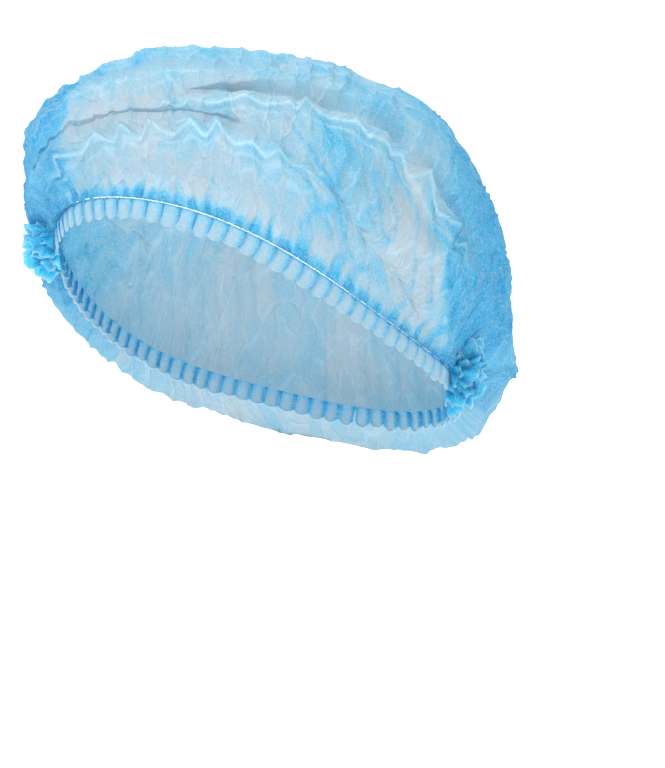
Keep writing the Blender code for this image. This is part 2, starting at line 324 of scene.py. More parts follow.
heart = np.array((0.0, -0.4 * TOP_LEAD, 0.25 * CROWN_TOP))
off_head = unit(form - heart)

from_end = np.minimum(everywhere, 1.0 - everywhere) * np.pi * STRIP_ARC_RADIUS

# soft pillows, long creases that run from hem to hem, and small crumple
pillow = rolling(sideways / 0.024, to_front / 0.030, 31)
long_crease = creased(sideways / 0.0085, to_front / 0.052 + 0.4 * pillow, 32)
fine_crease = creased(sideways / 0.0055, to_front / 0.020, 33)
cross_crease = creased((sideways + to_front) / 0.020, (sideways - to_front) / 0.034, 34)
spread = share_between(np.minimum(to_front, to_back), 0.004, 0.022) * share_between(from_end, 0.006, 0.045)
bumps = 0.0017 * pillow + 0.0015 * long_crease + 0.0005 * fine_crease + 0.0011 * cross_crease - 0.0024
# slanting drag creases over the left temple
temple = share_between(everywhere, 0.50, 0.64) * (1.0 - share_between(everywhere, 0.84, 0.94))
temple = temple * (1.0 - share_between(across, 0.20, 0.27))
slant = creased((sideways + 0.9 * to_front) / 0.011, (sideways - to_front) / 0.042, 35)
out = out + spread * (bumps + 0.0012 * slant * temple)

# gather is the depth of blue, from one layer at 0 to many at 1
gather = 0.04 + (0.10 * long_crease + 0.06 * fine_crease + 0.08 * cross_crease) * spread
gather = gather + 0.05 * pillow + 0.34 * layers + (0.05 + 0.42 * slant + 0.16 * pillow) * temple * spread

# the tucks that open off each seam
TUCK_REACH = 0.012
TUCK_DEPTH = 0.0026
BARS = 256
tuck_out = np.zeros_like(out)
for tucked, to_hem, seed in ((FRONT_TUCKED_LENGTH, to_front, 41), (BACK_TUCKED_LENGTH, to_back, 42)):
    tucks = tucked / SCALLOP_PITCH
    wobble = 0.40 * rolling(everywhere * tucks * 0.6, to_hem / 0.010, seed)
    wobble = wobble * share_between(to_hem, 0.0, 0.010)
    lean = 0.7 * share_between(everywhere, 0.60, 0.85) * to_hem / TUCK_REACH
    phase = everywhere * tucks + wobble - lean
    lobe = np.abs(np.sin(np.pi * phase)) ** 0.7
    near = np.exp(-((to_hem / TUCK_REACH) ** 1.5))
    opens = share_between(to_hem, 0.0, 0.0035)
    tuck_out = tuck_out + TUCK_DEPTH * (lobe - 0.35) * near * opens
    # narrow bars of doubled cloth climb off the seam, each to its own height
    bar = phase * 1.25
    which = np.floor(bar).astype(int) % BARS
    random = np.random.default_rng(seed).uniform(0.0, 1.0, (3, BARS))
    reach = 0.0050 + 0.0100 * random[0][which]
    wide = 0.26 + 0.24 * random[1][which]
    window = share_between(wide - np.abs(bar - np.floor(bar) - 0.5), 0.0, 0.12)
    climb = np.exp(-((to_hem / reach) ** 3)) * window * (0.35 + 0.65 * random[2][which])
    gather = gather + 0.72 * climb + 0.62 * np.exp(-((to_hem / 0.0055) ** 3))
    gather = gather + 0.20 * (1.0 - lobe) ** 2 * near

# the pleats drawn together in flutes at both ends of the strip
FLUTES = 26.0
flute = np.cos(2.0 * np.pi * FLUTES * (across + 0.02 * rolling(from_end / 0.004, across * 9.0, 51)))
bunching = np.exp(-((from_end / 0.016) ** 2))
out = out + 0.0009 * flute * bunching * share_between(from_end, 0.002, 0.010)
ragged = from_end * (1.0 + 0.35 * rolling(across * 14.0, from_end / 0.009, 52))
gather = gather + 0.80 * np.exp(-((ragged / 0.027) ** 2)) + 0.30 * (0.5 - 0.5 * flute) * bunching

# both sides and the low back lobe hang in several layers, with a plain border where they begin
TOWARDS_LEFT = np.array((0.766, 0.643, 0.0))
LEFT_BORDER = (0.0780, 0.0840)
RIGHT_BORDER = (0.0745, 0.0815)
to_left = form @ TOWARDS_LEFT + 0.005 * pillow + 0.002 * long_crease
in_front = 1.0 - share_between(across, 0.45, 0.60)
low_enough = share_between(0.085 - form[..., 2], 0.0, 0.02)
gather = gather + 0.46 * share_between(to_left, *LEFT_BORDER) * low_enough * in_front
gather = gather + 0.50 * share_between(-to_left, *RIGHT_BORDER) * in_front
gather = gather + (0.10 + 0.20 * share_between(np.abs(to_left), 0.03, 0.09)) * (1.0 - in_front)
gather = gather + 0.20 * share_between(0.30 - everywhere + 0.03 * pillow, 0.0, 0.14)
gather = gather + 0.22 * share_between(everywhere, 0.62, 0.88) * share_between(across, 0.30, 0.46)
gather = gather + 0.30 * share_between(across, 0.24, 0.32) * (1.0 - share_between(across, 0.62, 0.80))

# the cloth stands level off the elastic at its seams, and off the middle of the head elsewhere
SEAM_REACH = 0.004
SEAM_LIFT = 0.0009
near_seam = np.exp(-np.minimum(to_front, to_back) / SEAM_REACH)
level_out = unit(form * np.array((1.0, 1.0, 0.0)) + 1e-9)
crown_points = form + off_head * (out * (1.0 - near_seam))[..., None]
crown_points = crown_points + level_out * (tuck_out + SEAM_LIFT * near_seam)[..., None]

columns, rows = crown_points.shape[:2]
crown_mesh = bpy.data.meshes.new("crown_cloth")
index = np.arange(columns * rows).reshape(columns, rows)
corners = (index[:-1, :-1], index[1:, :-1], index[1:, 1:], index[:-1, 1:])
faces = np.stack([c.ravel() for c in corners], axis=1)
crown_mesh.from_pydata(crown_points.reshape(-1, 3).tolist(), [], faces.tolist())
crown_mesh.shade_smooth()
# the painted highlight and the painted hollow shade go to the material beside the depth of blue
for name, values in (("gather", gather), ("edge", edge), ("valley", valley)):
    layer = crown_mesh.attributes.new(name, "FLOAT", "POINT")
    layer.data.foreach_set("value", np.clip(values, 0.0, 1.0).astype(np.float32).ravel())
cloth_map = crown_mesh.uv_layers.new(name="cloth")
flat_place = np.stack((sideways, to_front), axis=-1).reshape(-1, 2)
cloth_map.data.foreach_set("uv", flat_place[faces.ravel()].astype(np.float32).ravel() * 4.0 + 0.5)
crown = bpy.data.objects.new("crown_cloth", crown_mesh)
bpy.context.scene.collection.objects.link(crown)


FIBRE_WHITE = (0.80, 0.92, 0.98)
CREASE_LIGHT = (0.66, 0.86, 0.95)
BOND_WHITE = (0.84, 0.93, 0.97)
PORE_SHADE = (0.70, 0.84, 0.90)
# painted grey shade for the hollows behind the lips
PAINTED_HOLLOW_GREY = (0.44, 0.55, 0.61)
# painted highlight for the edges of lips, tongues and ruffles
PAINTED_EDGE_HIGHLIGHT = (0.74, 0.93, 0.98)
SHOWS_THROUGH = 0.35


def nonwoven(name, pale, light, full, deep, wrinkled=False):
    """Spunbond nonwoven: cloudy fibres, bond points, pale in one layer and deep blue in many. With
    wrinkled, the sheet's flat map also carries long crumpled creases from hem to hem."""
    look = bpy.data.materials.new(name)
    look.use_nodes = True
    tree = look.node_tree
    nodes, links = tree.nodes, tree.links
    surface = nodes["Principled BSDF"]
    place = nodes.new("ShaderNodeTexCoord")

    def noise(scale, detail, stretch=None, turn=0.0, rough=0.6):
        texture = nodes.new("ShaderNodeTexNoise")
        texture.inputs["Scale"].default_value = scale
        texture.inputs["Detail"].default_value = detail
        texture.inputs["Roughness"].default_value = rough
        if stretch:
            mapping = nodes.new("ShaderNodeMapping")
            mapping.inputs["Scale"].default_value = stretch
            mapping.inputs["Rotation"].default_value = (0.3 * turn, 0.5 * turn, turn)
            links.new(place.outputs["Object"], mapping.inputs["Vector"])
            links.new(mapping.outputs["Vector"], texture.inputs["Vector"])
        else:
            links.new(place.outputs["Object"], texture.inputs["Vector"])
        return texture.outputs["Fac"]

    def math_of(kind, a, b, clamp=False):
        node = nodes.new("ShaderNodeMath")
        node.operation = kind
        node.use_clamp = clamp
        for socket, value in zip(node.inputs, (a, b)):
            if isinstance(value, (int, float)):
                socket.default_value = value
            else:
                links.new(value, socket)
        return node.outputs[0]

    def mix_of(kind, share, a, b):
        node = nodes.new("ShaderNodeMix")
        node.data_type = "RGBA"
        node.blend_type = kind
        for socket, value in ((node.inputs[0], share), (node.inputs[6], a), (node.inputs[7], b)):
            if isinstance(value, (int, float)):
                socket.default_value = value
            elif isinstance(value, tuple):
                socket.default_value = (*value, 1.0)
            else:
                links.new(value, socket)
        return node.outputs[2]

    def attribute(attribute_name):
        node = nodes.new("ShaderNodeAttribute")
        node.attribute_name = attribute_name
        return node.outputs["Fac"]

    # clouds are uneven laydown, specks the pressed bond points, and the two stretched noises are fibres
    clouds = noise(170.0, 5.0)
    specks = noise(1500.0, 3.0, rough=0.75)
    fibre_a = noise(420.0, 4.0, stretch=(1.0, 7.0, 3.0), turn=0.7)
    fibre_b = noise(420.0, 4.0, stretch=(6.0, 1.0, 2.0), turn=-0.5)
    fibres = math_of("MAXIMUM", fibre_a, fibre_b)
    relief = math_of("ADD", math_of("MULTIPLY", fibres, 0.7), math_of("MULTIPLY", clouds, 0.6))
    relief = math_of("ADD", relief, math_of("MULTIPLY", specks, 0.3))
    cloudy = math_of("MULTIPLY", math_of("SUBTRACT", clouds, 0.5), 0.30)
    density = math_of("ADD", attribute("gather"), cloudy)
    density = math_of("ADD", density, math_of("MULTIPLY", math_of("SUBTRACT", specks, 0.5), 0.45))
    creases = None
    # two sets of crumpled facets with a fine line round each, long ones from hem to hem and slanting ones
    if wrinkled:
        flat = nodes.new("ShaderNodeUVMap")
        flat.uv_map = "cloth"
        bend = nodes.new("ShaderNodeTexNoise")
        bend.inputs["Scale"].default_value = 22.0
        bend.inputs["Detail"].default_value = 2.0
        links.new(flat.outputs["UV"], bend.inputs["Vector"])
        bent = nodes.new("ShaderNodeVectorMath")
        bent.operation = "MULTIPLY_ADD"
        bent.inputs[1].default_value = (0.045, 0.045, 0.0)
        links.new(bend.outputs["Color"], bent.inputs[0])
        links.new(flat.outputs["UV"], bent.inputs[2])
        for spacing, turn, line_width in (((34.0, 9.0), 0.06, 0.10), ((15.0, 11.0), 0.75, 0.05)):
            laid = nodes.new("ShaderNodeMapping")
            laid.inputs["Rotation"].default_value = (0.0, 0.0, turn)
            laid.inputs["Scale"].default_value = (*spacing, 1.0)
            links.new(bent.outputs[0], laid.inputs["Vector"])
            facets = nodes.new("ShaderNodeTexVoronoi")
            facets.voronoi_dimensions = "2D"
            borders = nodes.new("ShaderNodeTexVoronoi")
            borders.voronoi_dimensions = "2D"
            borders.feature = "DISTANCE_TO_EDGE"
            for texture in (facets, borders):
                texture.inputs["Scale"].default_value = 1.0
                links.new(laid.outputs["Vector"], texture.inputs["Vector"])
            from_line = math_of("DIVIDE", borders.outputs["Distance"], line_width)
            line = math_of("SUBTRACT", 1.0, from_line, True)
            tone = nodes.new("ShaderNodeSeparateColor")
            links.new(facets.outputs["Color"], tone.inputs[0])
            shift = math_of("MULTIPLY", math_of("SUBTRACT", tone.outputs[0], 0.5), 0.16)
            density = math_of("ADD", density, shift)
            relief = math_of("ADD", relief, math_of("MULTIPLY", facets.outputs["Distance"], 1.6))
            relief = math_of("ADD", relief, math_of("MULTIPLY", line, 0.7))
            if creases is None:
                creases = line
            else:
                creases = math_of("MAXIMUM", creases, math_of("MULTIPLY", line, 0.7))
    density = math_of("ADD", density, 0.0, True)
    ramp = nodes.new("ShaderNodeValToRGB")
    ramp.color_ramp.elements[0].position = 0.0
    ramp.color_ramp.elements[0].color = (*pale, 1.0)
    ramp.color_ramp.elements[1].position = 1.0
    ramp.color_ramp.elements[1].color = (*deep, 1.0)
    for position, colour in ((0.30, light), (0.66, full)):
        stop = ramp.color_ramp.elements.new(position)
        stop.color = (*colour, 1.0)
    links.new(density, ramp.inputs["Fac"])
    # white fibres, light crease lines and bond points over the blue, then painted grey shade in the hollows
    # and a painted highlight on the edges
    bright = math_of("MULTIPLY", math_of("SUBTRACT", fibres, 0.52, True), 3.2, True)
    colour = mix_of("MIX", math_of("MULTIPLY", bright, 0.55), ramp.outputs["Color"], FIBRE_WHITE)
    if creases:
        pale_only = math_of("SUBTRACT", 0.75, math_of("MULTIPLY", density, 0.65), True)
        fine = math_of("MULTIPLY", creases, math_of("MULTIPLY", clouds, pale_only))
        colour = mix_of("MIX", fine, colour, CREASE_LIGHT)
    fleck = math_of("MULTIPLY", math_of("SUBTRACT", specks, 0.55, True), 5.0, True)
    colour = mix_of("MIX", math_of("MULTIPLY", fleck, 0.50), colour, BOND_WHITE)
    pore = math_of("MULTIPLY", math_of("SUBTRACT", 0.43, specks, True), 6.0, True)
    colour = mix_of("MULTIPLY", math_of("MULTIPLY", pore, 0.40), colour, PORE_SHADE)
    # painted shade: grey mixed into the hollows behind the lips
    colour = mix_of("MIX", math_of("MULTIPLY", attribute("valley"), 0.30), colour, PAINTED_HOLLOW_GREY)
    # painted highlight: light mixed onto the edges of lips, tongues and ruffles
    colour = mix_of("MIX", math_of("MULTIPLY", attribute("edge"), 0.80), colour, PAINTED_EDGE_HIGHLIGHT)

    bump = nodes.new("ShaderNodeBump")
    bump.inputs["Strength"].default_value = 0.55
    bump.inputs["Distance"].default_value = 0.0009
    links.new(relief, bump.inputs["Height"])
    links.new(bump.outputs["Normal"], surface.inputs["Normal"])
    links.new(colour, surface.inputs["Base Color"])
    surface.inputs["Roughness"].default_value = 0.62
    surface.inputs["Specular IOR Level"].default_value = 0.30
    surface.inputs["Sheen Weight"].default_value = 0.06
    surface.inputs["Sheen Roughness"].default_value = 0.5

    through = nodes.new("ShaderNodeBsdfTranslucent")
    links.new(colour, through.inputs["Color"])
    links.new(bump.outputs["Normal"], through.inputs["Normal"])
    both = nodes.new("ShaderNodeMixShader")
    both.inputs[0].default_value = SHOWS_THROUGH
    links.new(surface.outputs[0], both.inputs[1])
    links.new(through.outputs[0], both.inputs[2])
    links.new(both.outputs[0], nodes["Material Output"].inputs["Surface"])
    return look


CROWN_PALE = (0.505, 0.595, 0.650)
CROWN_LIGHT = (0.295, 0.575, 0.720)
CROWN_FULL = (0.080, 0.50, 0.76)
CROWN_DEEP = (0.001, 0.37, 0.68)
crown_look = nonwoven("spunbond_crown", CROWN_PALE, CROWN_LIGHT, CROWN_FULL, CROWN_DEEP, wrinkled=True)
crown_mesh.materials.append(crown_look)
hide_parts("crown")
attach(crown, "root")


# The hems.
# Each long edge of the strip is turned under and sewn down on its elastic, so below the elastic it
# stands in a frill of flat tongues with a narrow fold between each two.

TONGUE_DEPTH = 0.0090
TONGUE_FLAT = 0.0072
TONGUE_BULGE = 0.0008
TONGUE_LAP = 0.0009
FRILL_END_GAP = 0.004
FRILL_OFF_SEAM = 0.0008
# A tongue's section from its hidden fold to its free side, the drops that it is drawn at, and its
# bulge at each of them.
TONGUE_SECTION = (
    (-0.40, -2.2),
    (-0.52, -1.6),
    (-0.58, -0.9),
    (-0.55, -0.3),
    (-0.42, 0.1),
    (-0.20, 0.3),
    (0.05, 0.5),
    (0.28, 0.7),
    (0.44, 0.9),
    (0.52, 0.8),
    (0.50, 0.2),
)
TONGUE_DROPS = (0.0, 0.07, 0.18, 0.34, 0.52, 0.70, 0.84, 0.94, 1.0, 0.985, 0.93)
TONGUE_SWELL = (0.15, 0.45, 0.85, 1.05, 1.10, 1.05, 0.95, 0.80, 0.50, 0.05, -0.30)


def add_tongue():
    """One tongue of the frill: x along the elastic, y off the head and z down."""
    points, gathers, painted_highlights = [], [], []
    for x, y in TONGUE_SECTION:
        for drop, wide in zip(TONGUE_DROPS, TONGUE_SWELL):
            rounded = 1.0 - 0.30 * abs(1.8 * x + 0.10) ** 2.4
            pinch = 0.86 + 0.14 * min(drop * 3.0, 1.0)
            out = TONGUE_BULGE * wide + TONGUE_LAP * y * min(drop * 4.0, 1.0)
            points.append((TONGUE_FLAT * x * pinch, out, TONGUE_DEPTH * drop * rounded))
            side = abs(x + 0.04) / 0.50
            root = math.exp(-drop * 5.0)
            tucked_under = 0.10 if y < -0.6 else 0.0
            gathers.append(0.06 + 0.60 * min(side, 1.1) ** 2.0 + 0.40 * root + tucked_under)
            # painted highlight along the tongue's bottom rim and its free side
            painted_side_highlight = 0.30 if x > 0.5 and drop > 0.2 else 0.0
            painted_highlights.append(0.45 * math.exp(-(((drop - 1.0) / 0.035) ** 2)) + painted_side_highlight)
    rows = len(TONGUE_DROPS)
    faces = []
    for column in range(len(TONGUE_SECTION) - 1):
        for row in range(rows - 1):
            a = column * rows + row
            faces.append((a, a + 1, a + rows + 1, a + rows))
    mesh = bpy.data.meshes.new("frill_tongue")
    mesh.from_pydata(points, [], faces)
    mesh.shade_smooth()
    for name, values in (("gather", gathers), ("edge", painted_highlights)):
        layer = mesh.attributes.new(name, "FLOAT", "POINT")
        layer.data.foreach_set("value", values)
    tongue = bpy.data.objects.new("frill_tongue", mesh)
    bpy.context.scene.collection.objects.link(tongue)
    return tongue


def seam_line(name, start_deg, end_deg, end_gap, pitch, out):
    """Points a pitch apart along the elastic, each knowing which way is along it and off the head."""
    step = np.radians(0.5)
    first, last = math.radians(start_deg), math.radians(end_deg)
    speed = np.linalg.norm(opening_point(np.array(first + step)) - opening_point(np.array(first - step)))
    first = first + end_gap * 2 * step / speed
    speed = np.linalg.norm(opening_point(np.array(last + step)) - opening_point(np.array(last - step)))
    last = last - end_gap * 2 * step / speed
    angles = np.linspace(first, last, 2000)
    line = opening_point(angles)
    run = np.concatenate(([0.0], np.cumsum(np.linalg.norm(np.diff(line, axis=0), axis=1))))
    count = int(run[-1] / pitch)
    angles = np.interp(np.linspace(0.0, run[-1], count), run, angles)
    points = opening_point(angles) + opening_outward(angles) * out
    mesh = bpy.data.meshes.new(name)
    mesh.from_pydata(points.tolist(), [(k, k + 1) for k in range(count - 1)], [])
    directions = {"off_head": opening_outward(angles), "along_hem": opening_forward(angles)}
    for attribute, values in directions.items():
        layer = mesh.attributes.new(attribute, "FLOAT_VECTOR", "POINT")
        layer.data.foreach_set("vector", values.astype(np.float32).ravel())
    line = bpy.data.objects.new(name, mesh)
    bpy.context.scene.collection.objects.link(line)
    return line


def repeat_tree(name):
    """Sets one small shape at each point of a line, turned to it, with a little unevenness."""
    tree = bpy.data.node_groups.new(name, "GeometryNodeTree")
    sockets = tree.interface
    sockets.new_socket("Line", in_out="INPUT", socket_type="NodeSocketGeometry")
    sockets.new_socket("Shape", in_out="INPUT", socket_type="NodeSocketObject")
    sockets.new_socket("Finish", in_out="INPUT", socket_type="NodeSocketMaterial")
    sockets.new_socket("Turn", in_out="INPUT", socket_type="NodeSocketFloat")
    sockets.new_socket("Size Change", in_out="INPUT", socket_type="NodeSocketFloat")
    sockets.new_socket("Seed", in_out="INPUT", socket_type="NodeSocketInt")
    sockets.new_socket("Piece", in_out="OUTPUT", socket_type="NodeSocketGeometry")
    nodes, links = tree.nodes, tree.links
    start = nodes.new("NodeGroupInput")
    end = nodes.new("NodeGroupOutput")
    shape = nodes.new("GeometryNodeObjectInfo")
    instances = nodes.new("GeometryNodeInstanceOnPoints")
    off, on = nodes.new("GeometryNodeInputNamedAttribute"), nodes.new("GeometryNodeInputNamedAttribute")
    for node, attribute in ((off, "off_head"), (on, "along_hem")):
        node.data_type = "FLOAT_VECTOR"
        node.inputs["Name"].default_value = attribute
    facing = nodes.new("FunctionNodeAxesToRotation")
    facing.primary_axis, facing.secondary_axis = "Y", "X"
    links.new(off.outputs["Attribute"], facing.inputs["Primary Axis"])
    links.new(on.outputs["Attribute"], facing.inputs["Secondary Axis"])
    twist = nodes.new("FunctionNodeRandomValue")
    twist.data_type = "FLOAT"
    back = nodes.new("ShaderNodeMath")
    back.operation = "MULTIPLY"
    back.inputs[1].default_value = -1.0
    links.new(start.outputs["Turn"], back.inputs[0])
    low = next(s for s in twist.inputs if s.name == "Min" and s.enabled)
    high = next(s for s in twist.inputs if s.name == "Max" and s.enabled)
    links.new(back.outputs[0], low)
    links.new(start.outputs["Turn"], high)
    links.new(start.outputs["Seed"], twist.inputs["Seed"])
    turned = nodes.new("FunctionNodeAxisAngleToRotation")
    turned.inputs["Axis"].default_value = (0.25, 1.0, 0.25)
    links.new(next(s for s in twist.outputs if s.enabled), turned.inputs["Angle"])
    both = nodes.new("FunctionNodeRotateRotation")
    both.rotation_space = "LOCAL"
    links.new(facing.outputs[0], both.inputs[0])
    links.new(turned.outputs[0], both.inputs[1])
    sizes = nodes.new("FunctionNodeRandomValue")
    sizes.data_type = "FLOAT_VECTOR"
    small = nodes.new("ShaderNodeMath")
    small.operation = "SUBTRACT"
    small.inputs[0].default_value = 1.0
    large = nodes.new("ShaderNodeMath")
    large.operation = "ADD"
    large.inputs[0].default_value = 1.0
    links.new(start.outputs["Size Change"], small.inputs[1])
    links.new(start.outputs["Size Change"], large.inputs[1])
    links.new(small.outputs[0], next(s for s in sizes.inputs if s.name == "Min" and s.enabled))
    links.new(large.outputs[0], next(s for s in sizes.inputs if s.name == "Max" and s.enabled))
    links.new(start.outputs["Seed"], sizes.inputs["Seed"])
    realize = nodes.new("GeometryNodeRealizeInstances")
    finish = nodes.new("GeometryNodeSetMaterial")
    links.new(start.outputs["Shape"], shape.inputs["Object"])
    links.new(start.outputs["Line"], instances.inputs["Points"])
    links.new(shape.outputs["Geometry"], instances.inputs["Instance"])
    links.new(both.outputs[0], instances.inputs["Rotation"])
    links.new(next(s for s in sizes.outputs if s.enabled), instances.inputs["Scale"])
    links.new(instances.outputs["Instances"], realize.inputs["Geometry"])
    links.new(realize.outputs["Geometry"], finish.inputs["Geometry"])
    links.new(start.outputs["Finish"], finish.inputs["Material"])
    links.new(finish.outputs["Geometry"], end.inputs["Piece"])
    return tree


def repeated(name, line, tree, shape, look, turn, change, seed):
    """The line with the tree's shapes on it, as a plain mesh piece."""
    repeat = line.modifiers.new("repeat", "NODES")
    repeat.node_group = tree
    values = {"Shape": shape, "Finish": look, "Turn": turn, "Size Change": change, "Seed": seed}
    for socket in tree.interface.items_tree:
        if socket.in_out == "INPUT" and socket.name in values:
            repeat[socket.identifier] = values[socket.name]
    graph = bpy.context.evaluated_depsgraph_get()
    mesh = bpy.data.meshes.new_from_object(line.evaluated_get(graph), depsgraph=graph)
    line.modifiers.remove(repeat)
    mesh.name = name
    piece = bpy.data.objects.new(name, mesh)
    bpy.context.scene.collection.objects.link(piece)
    return piece


HEM_PALE = (0.47, 0.58, 0.64)
HEM_LIGHT = (0.29, 0.57, 0.73)
HEM_FULL = (0.10, 0.52, 0.78)
HEM_DEEP = (0.006, 0.42, 0.74)
hem_look = nonwoven("spunbond_hem", HEM_PALE, HEM_LIGHT, HEM_FULL, HEM_DEEP)
hem_tree = repeat_tree("frill")
tongue = add_tongue()
for name, start_deg, end_deg, seed in (
    ("front_frill", RIGHT_END_DEG, LEFT_END_DEG, 3),
    ("back_frill", LEFT_END_DEG, RIGHT_END_DEG + 360.0, 4),
):
    line = seam_line(name + "_line", start_deg, end_deg, FRILL_END_GAP, SCALLOP_PITCH, FRILL_OFF_SEAM)
    hem = repeated(name, line, hem_tree, tongue, hem_look, 0.10, 0.08, seed)
    bpy.data.objects.remove(line)
    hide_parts(name.replace("frill", "hem"))
    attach(hem, "root")
bpy.data.objects.remove(tongue)


# The elastic threads.
# A near-white elastic strand is sewn along each hem's seam, and shows there as a line of short
# stitches laid end over end.

STITCH_LENGTH = 0.0024
STITCH_PITCH = 0.82 * STITCH_LENGTH
STITCH_RADIUS = 0.00022
STITCH_SIDES = 8
STITCH_SECTION = ((-0.5, 0.0), (-0.46, 0.6), (-0.3, 1.0), (0.0, 1.1), (0.3, 1.0), (0.46, 0.6), (0.5, 0.0))
THREAD_END_GAP = 0.006
THREAD_OFF_SEAM = 0.0019


def add_stitch():
    """One stitch along x, pointed at both ends and bowed off the cloth."""
    points = []
    for x, r in STITCH_SECTION:
        for k in range(STITCH_SIDES):
            turn = 2.0 * math.pi * k / STITCH_SIDES
            bow = 0.4 * (1.0 - (2.0 * x) ** 2)
            off = STITCH_RADIUS * (r * math.cos(turn) + bow)
            points.append((STITCH_LENGTH * x, off, STITCH_RADIUS * r * math.sin(turn)))
    faces = []
    for ring in range(len(STITCH_SECTION) - 1):
        for k in range(STITCH_SIDES):
            a = ring * STITCH_SIDES + k
            b = ring * STITCH_SIDES + (k + 1) % STITCH_SIDES
            faces.append((a, b, b + STITCH_SIDES, a + STITCH_SIDES))
    mesh = bpy.data.meshes.new("stitch")
    mesh.from_pydata(points, [], faces)
    mesh.shade_smooth()
    stitch = bpy.data.objects.new("stitch", mesh)
    bpy.context.scene.collection.objects.link(stitch)
    return stitch


thread_look = bpy.data.materials.new("elastic_strand")
thread_look.use_nodes = True
strand = thread_look.node_tree
thread_surface = strand.nodes["Principled BSDF"]
place = strand.nodes.new("ShaderNodeTexCoord")
fuzz = strand.nodes.new("ShaderNodeTexNoise")
fuzz.inputs["Scale"].default_value = 900.0
fuzz.inputs["Detail"].default_value = 3.0
shade = strand.nodes.new("ShaderNodeValToRGB")
shade.color_ramp.elements[0].position = 0.35
shade.color_ramp.elements[0].color = (0.55, 0.80, 0.92, 1.0)
shade.color_ramp.elements[1].position = 0.60
shade.color_ramp.elements[1].color = (0.90, 0.96, 0.98, 1.0)
strand.links.new(place.outputs["Object"], fuzz.inputs["Vector"])
strand.links.new(fuzz.outputs["Fac"], shade.inputs["Fac"])
strand.links.new(shade.outputs["Color"], thread_surface.inputs["Base Color"])
thread_bump = strand.nodes.new("ShaderNodeBump")
thread_bump.inputs["Strength"].default_value = 0.5
thread_bump.inputs["Distance"].default_value = 0.0002
strand.links.new(fuzz.outputs["Fac"], thread_bump.inputs["Height"])
strand.links.new(thread_bump.outputs["Normal"], thread_surface.inputs["Normal"])
thread_surface.inputs["Roughness"].default_value = 0.55

stitch = add_stitch()
stitch_tree = repeat_tree("stitches")
for name, start_deg, end_deg, seed in (
    ("front_elastic_thread", RIGHT_END_DEG, LEFT_END_DEG, 5),
    ("back_elastic_thread", LEFT_END_DEG, RIGHT_END_DEG + 360.0, 6),
):
    line = seam_line(name + "_line", start_deg, end_deg, THREAD_END_GAP, STITCH_PITCH, THREAD_OFF_SEAM)
    thread = repeated(name, line, stitch_tree, stitch, thread_look, 0.16, 0.18, seed)
    bpy.data.objects.remove(line)
    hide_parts(name.replace("_thread", ""))
    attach(thread, "root")
bpy.data.objects.remove(stitch)


# The bunched ends.
# Each end of the strip is drawn together and welded, and its pleat edges stand out of the weld in
# small crumpled ruffles, the most saturated blue on the cap.

# Each layer of a bunch: how far before the weld it stands, its reach off the head, its half height
# along the weld, and how many folds run out across it.
LAYERS = (
    (0.0036, 0.0075, 0.0080, 3),
    (0.0018, 0.0115, 0.0105, 4),
    (-0.0006, 0.0120, 0.0135, 5),
    (-0.0030, 0.0150, 0.0140, 5),
    (-0.0058, 0.0150, 0.0160, 6),
    (-0.0084, 0.0125, 0.0140, 5),
)
FOLD_DEPTH = 0.0019
CRUMPLE = 0.0012
LAYER_SPREAD_DEG = 104.0
LAYER_COLUMNS = 150
LAYER_ROWS = 15
BUNCH_PALE = (0.42, 0.78, 0.92)
BUNCH_LIGHT = (0.20, 0.70, 0.90)
BUNCH_FULL = (0.040, 0.62, 0.90)
BUNCH_DEEP = (0.002, 0.52, 0.86)
bunch_look = nonwoven("spunbond_bunch", BUNCH_PALE, BUNCH_LIGHT, BUNCH_FULL, BUNCH_DEEP)
